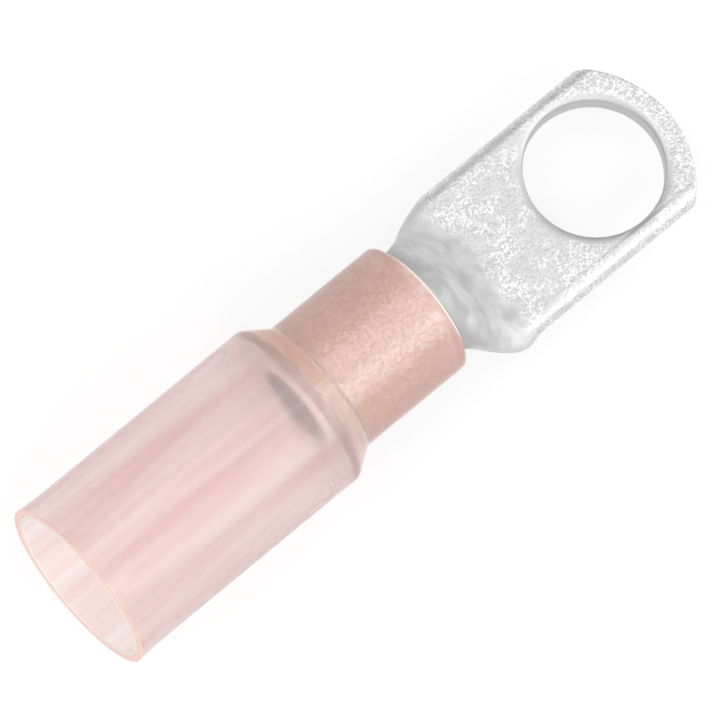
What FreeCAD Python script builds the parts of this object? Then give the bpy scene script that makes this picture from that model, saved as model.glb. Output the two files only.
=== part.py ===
import FreeCAD, Part
import os
import Sketcher
from FreeCAD import Vector
from math import atan2, cos, pi, radians, sqrt

# Heat shrink ring terminal: a tinned copper tube lug whose front is pressed flat into a
# tongue with a stud hole, and a dual wall heat shrink sleeve that is shrunk on the barrel.
# The origin is the centre of the stud hole on the tongue's underside. +X points along the
# barrel to the tongue's tip, +Z is the axis of the stud. All sizes are in millimetres.

os.makedirs("parts", exist_ok=True)
doc = FreeCAD.newDocument("ring_terminal")

SIZES = {
    # Tongue
    "stud_hole_diameter": "8.4",
    "hole_top_chamfer": "0.25",
    "side_rim": "1.15",
    "tip_rim": "1.45",
    "root_land": "5.4",
    "tongue_thickness": "1.6",
    "tip_arc_setback": "1.45",
    "tip_corner_rounding": "0.9",
    "tip_corner_overrun": "0.15",
    "crop_clearance": "1.5",
    # Barrel
    "barrel_outer_diameter": "7",
    "barrel_wall": "0.9",
    "barrel_length": "10",
    "barrel_rim_chamfer": "0.2",
    # Pressed stretch between the round barrel and the flat tongue
    "pressed_length": "4.1",
    "side_fold_length": "3.4",
    "early_widening": "0.35",
    "crease_slope": "0.5",
    "underside_flatness": "0.08",
    "closed_slit": "0.12",
    "least_inner_fold": "0.02",
    # Sleeve as supplied: wide at the mouth, shrunk on the barrel
    "sleeve_length": "26.4",
    "sleeve_outer_diameter": "11.05",
    "mouth_flare": "0.07",
    "mouth_flare_length": "1.5",
    "shoulder_length": "2.5",
    "shoulder_seat": "1.75",
    "jacket_wall": "0.43",
    "shrunk_jacket_wall": "0.6",
    "jacket_shoulder_lag": "0.33",
    "jacket_front_bevel": "0.4",
    # Adhesive liner
    "liner_wall": "0.23",
    "shrunk_liner_wall": "0.33",
    "liner_shoulder_lag": "0.17",
    "liner_bead": "0.25",
}

sizes = doc.addObject("Spreadsheet::Sheet", "Sizes")
for row, (alias, value) in enumerate(SIZES.items(), start=1):
    sizes.set(f"A{row}", alias)
    sizes.set(f"B{row}", value)
    sizes.setAlias(f"B{row}", alias)
doc.recompute()


def size(alias):
    """Return the number in the sheet's cell of that name."""
    return float(sizes.get(alias))


def cell(alias):
    """Return the expression that names a cell of the sheet."""
    return f"Sizes.{alias}"


def size_of(expression):
    """Work out an expression of the sheet as a number."""
    return float(sizes.evalExpression(expression.replace("Sizes.", "")))


# Lengths that follow from the sheet's values, measured from the stud's axis
HALF_BARREL = f"({cell('barrel_outer_diameter')} / 2)"
HALF_TONGUE = f"({cell('stud_hole_diameter')} / 2 + {cell('side_rim')})"
TIP_REACH = f"({cell('stud_hole_diameter')} / 2 + {cell('tip_rim')})"
TONGUE_ROOT = f"({cell('stud_hole_diameter')} / 2 + {cell('root_land')})"
BARREL_FRONT = f"({TONGUE_ROOT} + {cell('pressed_length')})"
BARREL_REAR = f"({BARREL_FRONT} + {cell('barrel_length')})"
JACKET_FRONT = f"({BARREL_FRONT} + {cell('liner_bead')})"
MOUTH = f"({JACKET_FRONT} + {cell('sleeve_length')})"

PRESSED_SECTIONS = 5
TOUCH = 1e-4
# The most that a chamfer takes of the flat or the wall beside it.
FLAT_SHARE = 0.8
WALL_SHARE = 0.4
# A round that two bevels stand in for puts their shared corner this share of its radius in.
BEVEL_CORNER = 1 - sqrt(0.5)
# The hidden shoulders are cones that leave out this share of the step's length at each end.
CONE_LEAVES_OUT = 0.125
# How far past the last open section the throat runs before its walls meet.
THROAT_RUN_OUT = 1 / 3
# Where the side arc of the round tube ends, in degrees below and above its axis.
ROUND_SIDE_LOW = 65
ROUND_SIDE_HIGH = 5


# Sketch helpers

def new_body(name):
    """Start a sub-part whose label names its file."""
    body = doc.addObject("PartDesign::Body", name)
    body.Label = name
    return body


def sketch_on(body, role, name, along=None, up=None):
    """Attach a sketch to one of the body's origin planes, with offsets that are expressions."""
    plane = next(f for f in body.Origin.OriginFeatures if f.Role == role)
    sketch = body.newObject("Sketcher::SketchObject", name)
    sketch.AttachmentSupport = [(plane, "")]
    sketch.MapMode = "FlatFace"
    if along:
        sketch.setExpression(".AttachmentOffset.Base.z", along)
    if up:
        sketch.setExpression(".AttachmentOffset.Base.y", up)
    return sketch


def bind(sketch, name, expression, kind, *places_and_value):
    """Add a dimension to a sketch and tie it to an expression of the sheet."""
    index = sketch.addConstraint(Sketcher.Constraint(kind, *places_and_value))
    sketch.renameConstraint(index, name)
    sketch.setExpression(f"Constraints.{name}", expression)


def arc(centre_x, centre_y, radius, start, end):
    """Return an arc that runs from one angle to another, in degrees."""
    circle = Part.Circle(Vector(centre_x, centre_y, 0), Vector(0, 0, 1), radius)
    return Part.ArcOfCircle(circle, radians(start), radians(end))


def line(start, end):
    """Return a straight edge between two points of a sketch."""
    return Part.LineSegment(Vector(*start, 0), Vector(*end, 0))


def circle_sketch(body, role, name, diameter, along=None, height=None):
    """Sketch a full circle; height lifts its centre above the sketch's origin."""
    sketch = sketch_on(body, role, name, along)
    number = size_of(diameter)
    lift = size_of(height) if height else 0
    sketch.addGeometry(Part.Circle(Vector(0, lift, 0), Vector(0, 0, 1), number / 2))
    bind(sketch, "diameter", diameter, "Diameter", 0, number)
    if height:
        sketch.addConstraint(Sketcher.Constraint("PointOnObject", 0, 3, -2))
        bind(sketch, "height", height, "DistanceY", -1, 1, 0, 3, lift)
    else:
        sketch.addConstraint(Sketcher.Constraint("Coincident", 0, 3, -1, 1))
    return sketch


# Sections of the lug, seen along the barrel

def close_loop(sketch):
    """Join four edges end to end, tangent at each joint."""
    for first in range(4):
        joint = Sketcher.Constraint("Tangent", first, 2, (first + 1) % 4, 1)
        sketch.addConstraint(joint)


def round_section(body, name, along, radius):
    """Sketch the round tube as four arcs, so that it lofts edge by edge to the ovals."""
    sketch = sketch_on(body, "YZ_Plane", name, along)
    number = size_of(radius)
    low, high = ROUND_SIDE_LOW, ROUND_SIDE_HIGH
    turns = ((-low, high), (high, 180 - high), (180 - high, 180 + low), (180 + low, 360 - low))
    for start, end in turns:
        sketch.addGeometry(arc(0, size_of(HALF_BARREL), number, start, end))
    sketch.addConstraint(Sketcher.Constraint("PointOnObject", 0, 3, -2))
    bind(sketch, "axis_height", HALF_BARREL, "DistanceY", -1, 1, 0, 3, size_of(HALF_BARREL))
    bind(sketch, "radius", radius, "Radius", 0, number)
    for other in (1, 2, 3):
        sketch.addConstraint(Sketcher.Constraint("Coincident", other, 3, 0, 3))
        sketch.addConstraint(Sketcher.Constraint("Equal", other, 0))
    for index, left, right, turn in ((1, 2, 1, high), (3, 1, 2, low)):
        sketch.addConstraint(Sketcher.Constraint("Horizontal", index, 1, index, 2))
        bind(sketch, f"chord_{index}", f"2 * {radius} * cos({turn})",
             "DistanceX", index, left, index, right, 2 * number * cos(radians(turn)))
    for index in range(4):
        following = (index + 1) % 4
        sketch.addConstraint(Sketcher.Constraint("Horizontal", index, 2, following, 1))
    return sketch


def smooth(share):
    """Ease a share from 0 to 1 with a soft start and a soft end."""
    return share * share * (3 - 2 * share)


def pressed_shape(share):
    """Give the expressions of an oval section that lies this share of the way to the tongue.

    The crown stays high longest and comes down on a slope that ends at the crease. The sides
    fold to the tongue's thickness before it, so the crease bows towards the hole. The width
    starts to grow at once.
    """
    bulge = 4 * share * (1 - share)
    early = cell("early_widening")
    widening = f"((1 - {early}) * {smooth(share):.5f} + {early} * {1 - (1 - share) ** 2:.5f})"
    half_width = f"({HALF_BARREL} + ({HALF_TONGUE} - {HALF_BARREL}) * {widening})"
    slope = cell("crease_slope")
    sinking = f"((3 - {slope}) * {share ** 2:.5f} + ({slope} - 2) * {share ** 3:.5f})"
    drop = f"({cell('barrel_outer_diameter')} - {cell('tongue_thickness')})"
    height = f"({cell('barrel_outer_diameter')} - {drop} * {sinking})"
    fold = f"min(1; {share:.5f} * {cell('pressed_length')} / {cell('side_fold_length')})"
    folding = f"({fold}^2 * (3 - 2 * {fold}))"
    middle = f"({HALF_BARREL} - {drop} / 2 * {folding})"
    side = f"({middle} * (1 - {cell('underside_flatness')} * {bulge:.5f}))"
    return half_width, height, middle, side


def oval_section(body, name, share, inset="0"):
    """Sketch a part-pressed tube: a domed top, a nearly flat underside and round sides."""
    half_width, height, middle, side = pressed_shape(share)
    along = f"-{BARREL_FRONT} + {cell('pressed_length')} * {share:.5f}"
    sketch = sketch_on(body, "YZ_Plane", name, along)
    offset = f"({half_width} - {side})"
    above = f"({height} - {middle})"
    dome = f"(({offset}^2 + {above}^2 - {side}^2) / (2 * ({above} - {side})))"
    sole = f"(({offset}^2 + {middle}^2 - {side}^2) / (2 * ({middle} - {side})))"
    u, mid, r = size_of(offset), size_of(middle), size_of(side)
    top, bottom = size_of(dome), size_of(sole)
    shrink = size_of(inset)
    dome_y = size_of(height) - top
    up = FreeCAD.Vector(u, mid - dome_y, 0)
    down = FreeCAD.Vector(u, mid - bottom, 0)
    top_angle = 180 / pi * Vector(1, 0, 0).getAngle(up)
    low_angle = -180 / pi * Vector(1, 0, 0).getAngle(down)
    sketch.addGeometry(arc(u, mid, r - shrink, low_angle, top_angle))
    sketch.addGeometry(arc(0, dome_y, top - shrink, top_angle, 180 - top_angle))
    sketch.addGeometry(arc(-u, mid, r - shrink, 180 - top_angle, 180 - low_angle))
    sketch.addGeometry(arc(0, bottom, bottom - shrink, 180 - low_angle, 360 + low_angle))
    close_loop(sketch)
    sketch.addConstraint(Sketcher.Constraint("Symmetric", 0, 3, 2, 3, -2))
    sketch.addConstraint(Sketcher.Constraint("Equal", 0, 2))
    bind(sketch, "side_offset", offset, "DistanceX", -1, 1, 0, 3, u)
    bind(sketch, "side_height", middle, "DistanceY", -1, 1, 0, 3, mid)
    bind(sketch, "side_radius", f"{side} - {inset}", "Radius", 0, r - shrink)
    bind(sketch, "dome_radius", f"{dome} - {inset}", "Radius", 1, top - shrink)
    bind(sketch, "sole_radius", f"{sole} - {inset}", "Radius", 3, bottom - shrink)
    return sketch


def flat_section(body, name, along, half_width, thickness, middle):
    """Sketch the flattened tube: two flat sides between round folded edges."""
    sketch = sketch_on(body, "YZ_Plane", name, along)
    radius = size_of(thickness) / 2
    u = size_of(half_width) - radius
    mid = size_of(middle)
    sketch.addGeometry(arc(u, mid, radius, -90, 90))
    sketch.addGeometry(line((u, mid + radius), (-u, mid + radius)))
    sketch.addGeometry(arc(-u, mid, radius, 90, 270))
    sketch.addGeometry(line((-u, mid - radius), (u, mid - radius)))
    close_loop(sketch)
    sketch.addConstraint(Sketcher.Constraint("Symmetric", 0, 3, 2, 3, -2))
    sketch.addConstraint(Sketcher.Constraint("Equal", 0, 2))
    bind(sketch, "edge_radius", f"{thickness} / 2", "Radius", 0, radius)
    bind(sketch, "edge_offset", f"{half_width} - {thickness} / 2", "DistanceX", -1, 1, 0, 3, u)
    bind(sketch, "edge_height", middle, "DistanceY", -1, 1, 0, 3, mid)
    return sketch


def feature(body, kind, name, profile=None):
    """Add a feature to a body, from a sketch where it has one."""
    added = body.newObject(f"PartDesign::{kind}", name)
    if profile:
        added.Profile = profile
        profile.Visibility = False
    return added


def pad(body, name, profile, length):
    """Extrude a sketch by a length that is an expression."""
    added = feature(body, "Pad", name, profile)
    added.setExpression("Length", length)
    return added


def loft(body, kind, name, sections, ruled=False):
    """Join sections by a skin, smooth or straight between them, that adds or removes material."""
    added = feature(body, kind, name, sections[0])
    added.Sections = sections[1:]
    added.Ruled = ruled
    added.Closed = False
    return added


def edges_where(shape, test):
    """Name the edges of a shape that pass a test."""
    return [f"Edge{n}" for n, edge in enumerate(shape.Edges, start=1) if test(edge)]


def chamfer_edges(body, name, test, amount):
    """Chamfer the edges of the body's tip that pass a test."""
    doc.recompute()
    base = body.Tip
    added = feature(body, "Chamfer", name)
    added.Base = (base, edges_where(base.Shape, test))
    added.setExpression("Size", amount)
    doc.recompute()
    return added


# Ring lug: tube, pressed stretch, tongue

def build_ring_lug():
    """Build the one-piece copper lug."""
    body = new_body("ring_lug")
    front = f"-{BARREL_FRONT}"
    rear = f"-{BARREL_REAR}"
    root = f"-{TONGUE_ROOT}"
    wall = cell("barrel_wall")
    outer = cell("barrel_outer_diameter")
    thickness = cell("tongue_thickness")

    tube = circle_sketch(body, "YZ_Plane", "tube_section", outer, rear, HALF_BARREL)
    pad(body, "tube", tube, cell("barrel_length"))
    doc.recompute()

    shares = [n / (PRESSED_SECTIONS + 1) for n in range(1, PRESSED_SECTIONS + 1)]
    sections = [round_section(body, "press_start", front, HALF_BARREL)]
    sections += [oval_section(body, f"press_{n}", share) for n, share in enumerate(shares, 1)]
    sections.append(flat_section(body, "press_end", root, HALF_TONGUE, thickness, f"{thickness} / 2"))
    loft(body, "AdditiveLoft", "pressed_stretch", sections)
    doc.recompute()

    blank = flat_section(body, "tongue_section", root, HALF_TONGUE, thickness, f"{thickness} / 2")
    pad(body, "tongue", blank, f"{TONGUE_ROOT} + {TIP_REACH} + {thickness}")
    doc.recompute()

    crop_tip(body)
    hole = circle_sketch(body, "XY_Plane", "stud_hole_circle", cell("stud_hole_diameter"))
    punched = feature(body, "Pocket", "stud_hole", hole)
    punched.Type = "ThroughAll"
    punched.Midplane = True
    doc.recompute()

    bore = circle_sketch(body, "YZ_Plane", "bore_section", f"({outer} - 2 * {wall})", rear, HALF_BARREL)
    drilled = feature(body, "Pocket", "bore", bore)
    drilled.Reversed = True
    drilled.setExpression("Length", cell("barrel_length"))
    doc.recompute()

    open_shares = [s for s in shares if walls_apart(s)]
    closed_share = open_shares[-1] + (1 - open_shares[-1]) * THROAT_RUN_OUT
    inner = [round_section(body, "throat_start", front, f"({HALF_BARREL} - {wall})")]
    inner += [oval_section(body, f"throat_{n}", s, wall) for n, s in enumerate(open_shares, 1)]
    inner.append(slit_section(body, closed_share, wall))
    loft(body, "SubtractiveLoft", "closing_throat", inner, ruled=True)
    doc.recompute()
    chamfer_lug_edges(body)
    return body


def walls_apart(share):
    """Say whether the tube's two walls still stand apart at this share of the press."""
    height, side = (size_of(text) for text in pressed_shape(share)[1::2])
    wall = size("barrel_wall")
    folded_open = side > wall + size("least_inner_fold")
    return folded_open and height > 2 * wall + size("closed_slit")


def slit_section(body, share, wall):
    """Sketch the line where the tube's walls come together."""
    half_width, height, middle, side = pressed_shape(share)
    along = f"-{BARREL_FRONT} + {cell('pressed_length')} * {share:.5f}"
    return flat_section(body, "throat_end", along, f"({half_width} - {wall})", cell("closed_slit"), middle)


def crop_tip(body):
    """Cut the blank's end to an arc with rounded corners."""
    sketch = sketch_on(body, "XY_Plane", "tip_outline")
    tip_radius = f"({TIP_REACH} + {cell('tip_arc_setback')})"
    corner_side = f"({HALF_TONGUE} + {cell('tip_corner_overrun')})"
    clear_side = f"({HALF_TONGUE} + {cell('crop_clearance')})"
    clear_end = f"({TIP_REACH} + {cell('tongue_thickness')} + {cell('crop_clearance')})"
    radius, corner = size_of(tip_radius), size("tip_corner_rounding")
    centre, high, far = -size("tip_arc_setback"), size_of(clear_side), size_of(clear_end)
    # The corner arc touches the tip arc from inside and runs out past the tongue's side.
    corner_y = size_of(corner_side) - corner
    corner_x = centre + sqrt((radius - corner) ** 2 - corner_y ** 2)
    lean = 180 / pi * Vector(1, 0, 0).getAngle(Vector(corner_x - centre, corner_y, 0))
    sketch.addGeometry(arc(centre, 0, radius, -lean, lean))
    sketch.addGeometry(arc(corner_x, corner_y, corner, lean, 90))
    sketch.addGeometry(line((corner_x, corner_y + corner), (corner_x, high)))
    sketch.addGeometry(line((corner_x, high), (far, high)))
    sketch.addGeometry(line((far, high), (far, -high)))
    sketch.addGeometry(line((far, -high), (corner_x, -high)))
    sketch.addGeometry(line((corner_x, -high), (corner_x, -corner_y - corner)))
    sketch.addGeometry(arc(corner_x, -corner_y, corner, -90, -lean))
    sketch.addConstraint(Sketcher.Constraint("PointOnObject", 0, 3, -1))
    sketch.addConstraint(Sketcher.Constraint("Tangent", 0, 2, 1, 1))
    sketch.addConstraint(Sketcher.Constraint("Tangent", 7, 2, 0, 1))
    for first, second in ((1, 2), (2, 3), (3, 4), (4, 5), (5, 6), (6, 7)):
        sketch.addConstraint(Sketcher.Constraint("Coincident", first, 2, second, 1))
    for upright in (2, 4, 6):
        sketch.addConstraint(Sketcher.Constraint("Vertical", upright))
    for level in (3, 5):
        sketch.addConstraint(Sketcher.Constraint("Horizontal", level))
    sketch.addConstraint(Sketcher.Constraint("Vertical", 1, 2, 1, 3))
    sketch.addConstraint(Sketcher.Constraint("Symmetric", 1, 3, 7, 3, -1))
    sketch.addConstraint(Sketcher.Constraint("Vertical", 7, 1, 7, 3))
    sketch.addConstraint(Sketcher.Constraint("Equal", 2, 6))
    bind(sketch, "tip_radius", tip_radius, "Radius", 0, radius)
    bind(sketch, "tip_centre", f"-{cell('tip_arc_setback')}", "DistanceX", -1, 1, 0, 3, centre)
    bind(sketch, "corner_radius", cell("tip_corner_rounding"), "Radius", 1, corner)
    bind(sketch, "corner_side", corner_side, "DistanceY", -1, 1, 1, 2, corner_y + corner)
    bind(sketch, "clear_side", clear_side, "DistanceY", -1, 1, 3, 1, high)
    bind(sketch, "clear_end", clear_end, "DistanceX", -1, 1, 4, 1, far)
    cropped = feature(body, "Pocket", "tip_crop", sketch)
    cropped.Type = "ThroughAll"
    cropped.Midplane = True
    doc.recompute()


def chamfer_lug_edges(body):
    """Chamfer the punched hole's top edge and the barrel's rear rims."""
    radius = size("stud_hole_diameter") / 2
    rear = -size_of(BARREL_REAR)

    def hole_top(edge):
        curve = edge.Curve
        return (isinstance(curve, Part.Circle) and abs(curve.Radius - radius) < TOUCH
                and abs(curve.Center.z - size("tongue_thickness")) < TOUCH)

    def rear_rim(edge):
        return isinstance(edge.Curve, Part.Circle) and abs(edge.Curve.Center.x - rear) < TOUCH

    flat_rim = f"({cell('side_rim')} - {cell('tongue_thickness')} / 2)"
    top = f"min({cell('hole_top_chamfer')}; {FLAT_SHARE} * {flat_rim})"
    rims = f"min({cell('barrel_rim_chamfer')}; {WALL_SHARE} * {cell('barrel_wall')})"
    chamfer_edges(body, "hole_top_edge", hole_top, top)
    chamfer_edges(body, "barrel_rims", rear_rim, rims)


# Sleeve and liner: outlines turned about the barrel's axis

def turned_body(name, corners):
    """Turn a closed outline about the barrel's axis.

    Each corner gives its distance behind the stud's axis, its radius from the barrel's axis,
    and the radius of the arc that leaves it, positive to the left, or None for a straight edge.
    """
    body = new_body(name)
    sketch = sketch_on(body, "XZ_Plane", f"{name}_outline", up=HALF_BARREL)
    count = len(corners)
    places = [Vector(-size_of(back), size_of(out), 0) for back, out, _ in corners]
    for index, (_, _, bend) in enumerate(corners):
        start, end = places[index], places[(index + 1) % count]
        if bend:
            sketch.addGeometry(bent_edge(start, end, size_of(bend)))
        else:
            sketch.addGeometry(Part.LineSegment(start, end))
    ends = [(2, 1) if bend and size_of(bend) < 0 else (1, 2) for _, _, bend in corners]
    for index, (back, out, bend) in enumerate(corners):
        following = (index + 1) % count
        joint = Sketcher.Constraint("Coincident", index, ends[index][1], following, ends[following][0])
        sketch.addConstraint(joint)
        start = (index, ends[index][0])
        bind(sketch, f"back_{index}", f"-{back}", "DistanceX", -1, 1, *start, places[index].x)
        bind(sketch, f"out_{index}", out, "DistanceY", -1, 1, *start, places[index].y)
        if bend:
            bind(sketch, f"bend_{index}", f"abs({bend})", "Radius", index, abs(size_of(bend)))
    turned = feature(body, "Revolution", f"{name}_turned", sketch)
    turned.ReferenceAxis = (sketch, ["H_Axis"])
    turned.Angle = 360
    doc.recompute()
    return body


def bent_edge(start, end, bend):
    """Return the arc from start to end that bends to its left by a positive radius."""
    chord = end - start
    half = chord.Length / 2
    side = Vector(-chord.y, chord.x, 0).normalize()
    reach = sqrt(max(bend * bend - half * half, 0))
    centre = start + chord * 0.5 + side * (reach if bend > 0 else -reach)
    first, last = (start, end) if bend > 0 else (end, start)
    turns = [180 / pi * atan2(p.y - centre.y, p.x - centre.x) for p in (first, last)]
    if turns[1] < turns[0]:
        turns[1] += 360
    return arc(centre.x, centre.y, abs(bend), *turns)


def shoulder_curve(wide, narrow, front):
    """Give the corners of the S-shaped step from the wide radius to the narrow one.

    Two equal arcs meet half way down. front is where the step ends, behind the stud's axis.
    """
    length = cell("shoulder_length")
    drop = f"({wide} - {narrow})"
    bend = f"(({length}^2 + {drop}^2) / (4 * {drop}))"
    return [
        (f"({front} + {length})", wide, f"-{bend}"),
        (f"({front} + {length} / 2)", f"(({wide} + {narrow}) / 2)", bend),
        (front, narrow, None),
    ]


def shoulder_cone(wide, narrow, front):
    """Give the corners of a cone that follows the S-shaped step under the outer skin."""
    length = cell("shoulder_length")
    return [
        (f"({front} + {length} * {1 - CONE_LEAVES_OUT})", wide, None),
        (f"({front} + {length} * {CONE_LEAVES_OUT})", narrow, None),
    ]


def bevelled_edge(back, out, amount):
    """Give the corners of two bevels that stand in for a rounded front edge."""
    return [
        (f"({back} + {amount})", out, None),
        (f"({back} + {amount} * {BEVEL_CORNER:.5f})", f"({out} - {amount} * {BEVEL_CORNER:.5f})", None),
        (back, f"({out} - {amount})", None),
    ]


SLEEVE_OUTER = f"({cell('sleeve_outer_diameter')} / 2)"
BOND_WIDE = f"({SLEEVE_OUTER} - {cell('jacket_wall')})"
LINER_WIDE = f"({BOND_WIDE} - {cell('liner_wall')})"
BOND_SHRUNK = f"({HALF_BARREL} + {cell('shrunk_liner_wall')})"
SHRUNK_OUTER = f"({BOND_SHRUNK} + {cell('shrunk_jacket_wall')})"
FLARE_END = f"({MOUTH} - {cell('mouth_flare_length')})"
LINER_STEP = f"({BARREL_REAR} - {cell('shoulder_seat')})"
BOND_STEP = f"({LINER_STEP} - {cell('liner_shoulder_lag')})"
OUTER_STEP = f"({BOND_STEP} - {cell('jacket_shoulder_lag')})"


def flared(radius):
    """Give a radius as it is at the flared mouth."""
    return f"({radius} + {cell('mouth_flare')})"


def build_jacket():
    """Build the outer sleeve, wide at the mouth and shrunk on the barrel."""
    corners = [
        (MOUTH, flared(SLEEVE_OUTER), None),
        (FLARE_END, SLEEVE_OUTER, None),
        *shoulder_curve(SLEEVE_OUTER, SHRUNK_OUTER, OUTER_STEP),
        *bevelled_edge(JACKET_FRONT, SHRUNK_OUTER, cell("jacket_front_bevel")),
        (JACKET_FRONT, BOND_SHRUNK, None),
        *shoulder_cone(BOND_WIDE, BOND_SHRUNK, BOND_STEP)[::-1],
        (FLARE_END, BOND_WIDE, None),
        (MOUTH, flared(BOND_WIDE), None),
    ]
    return turned_body("heat_shrink_sleeve", corners)


def build_liner():
    """Build the hot melt liner between the jacket and the barrel, with its front bead."""
    corners = [
        (MOUTH, flared(BOND_WIDE), None),
        (FLARE_END, BOND_WIDE, None),
        *shoulder_cone(BOND_WIDE, BOND_SHRUNK, BOND_STEP),
        *bevelled_edge(BARREL_FRONT, BOND_SHRUNK, cell("liner_bead")),
        (BARREL_FRONT, HALF_BARREL, None),
        *shoulder_cone(LINER_WIDE, HALF_BARREL, LINER_STEP)[::-1],
        (FLARE_END, LINER_WIDE, None),
        (MOUTH, flared(LINER_WIDE), None),
    ]
    return turned_body("adhesive_liner", corners)


def check_document():
    """Stop if an object of the document failed."""
    failed = [item.Name for item in doc.Objects if {"Invalid", "Error"} & set(item.State)]
    if failed:
        raise RuntimeError(f"failed objects: {failed}")


def write_step(body):
    """Check a sub-part's shape and write it under its label."""
    shape = body.Shape
    if shape.isNull() or not shape.isValid() or len(shape.Solids) != 1:
        raise RuntimeError(f"{body.Label} isn't one valid solid")
    shape.exportStep(f"parts/{body.Label}.step")
    print(f"{body.Label}: {shape.Volume:.2f} mm3")


terminal = [build_ring_lug(), build_jacket(), build_liner()]
doc.recompute()
check_document()
for part_body in terminal:
    write_step(part_body)
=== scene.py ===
"""The looks of a heat shrink ring terminal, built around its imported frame.

A tinned copper tube lug is held in a translucent pink heat shrink sleeve with a hot melt
liner. The origin is the stud hole's centre on the tongue's underside, +X runs along the
barrel to the tongue's tip and +Z is the stud's axis. Lengths are in millimetres inside the
classes and become metres where a mesh, a lamp or the camera is made.
"""

import logging
from collections.abc import Callable, Sequence
from dataclasses import dataclass, field
from enum import Enum
from math import atan2, cos, degrees, exp, hypot, pi, radians, sin, sqrt, tan
from typing import Any

import bmesh
import bpy
from mathutils import Matrix, Vector, noise

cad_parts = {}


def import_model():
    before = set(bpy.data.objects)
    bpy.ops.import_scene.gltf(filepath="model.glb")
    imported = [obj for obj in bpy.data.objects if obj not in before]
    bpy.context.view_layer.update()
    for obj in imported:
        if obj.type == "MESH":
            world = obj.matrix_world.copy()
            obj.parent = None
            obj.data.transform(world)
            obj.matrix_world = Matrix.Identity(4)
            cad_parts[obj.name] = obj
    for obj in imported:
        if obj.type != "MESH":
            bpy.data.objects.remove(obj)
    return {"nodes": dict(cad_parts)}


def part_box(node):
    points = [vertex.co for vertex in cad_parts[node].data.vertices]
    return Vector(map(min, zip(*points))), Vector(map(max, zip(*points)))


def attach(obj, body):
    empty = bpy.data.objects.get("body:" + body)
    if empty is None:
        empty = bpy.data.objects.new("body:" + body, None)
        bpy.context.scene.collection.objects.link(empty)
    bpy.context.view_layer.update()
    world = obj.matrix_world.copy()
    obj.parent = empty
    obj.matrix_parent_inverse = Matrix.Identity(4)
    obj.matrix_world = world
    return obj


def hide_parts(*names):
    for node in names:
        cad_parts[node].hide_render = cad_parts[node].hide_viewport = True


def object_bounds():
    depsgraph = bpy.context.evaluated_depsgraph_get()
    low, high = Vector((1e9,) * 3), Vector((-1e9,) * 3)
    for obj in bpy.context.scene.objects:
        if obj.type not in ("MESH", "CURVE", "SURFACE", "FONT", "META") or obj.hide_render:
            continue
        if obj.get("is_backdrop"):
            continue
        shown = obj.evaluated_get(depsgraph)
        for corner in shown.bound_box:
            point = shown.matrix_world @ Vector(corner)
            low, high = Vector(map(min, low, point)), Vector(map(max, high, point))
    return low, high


LOG = logging.getLogger("ring_terminal")
MM = 0.001
PHOTO_WIDTH = 720
TURNS = 216
CREASE_ANGLE = radians(35)
TINY = 1e-4
CORNER_GAP = 0.01

Colour = tuple[float, float, float]
Point = tuple[float, float]
Point3 = tuple[float, float, float]
Tone = Colour | float
Sway = Callable[[float, float, float], float]


def as_colour(tone: Tone) -> Colour:
    """Give a grey as a colour, and a colour as it is."""
    return (tone, tone, tone) if isinstance(tone, float) else tone


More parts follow.
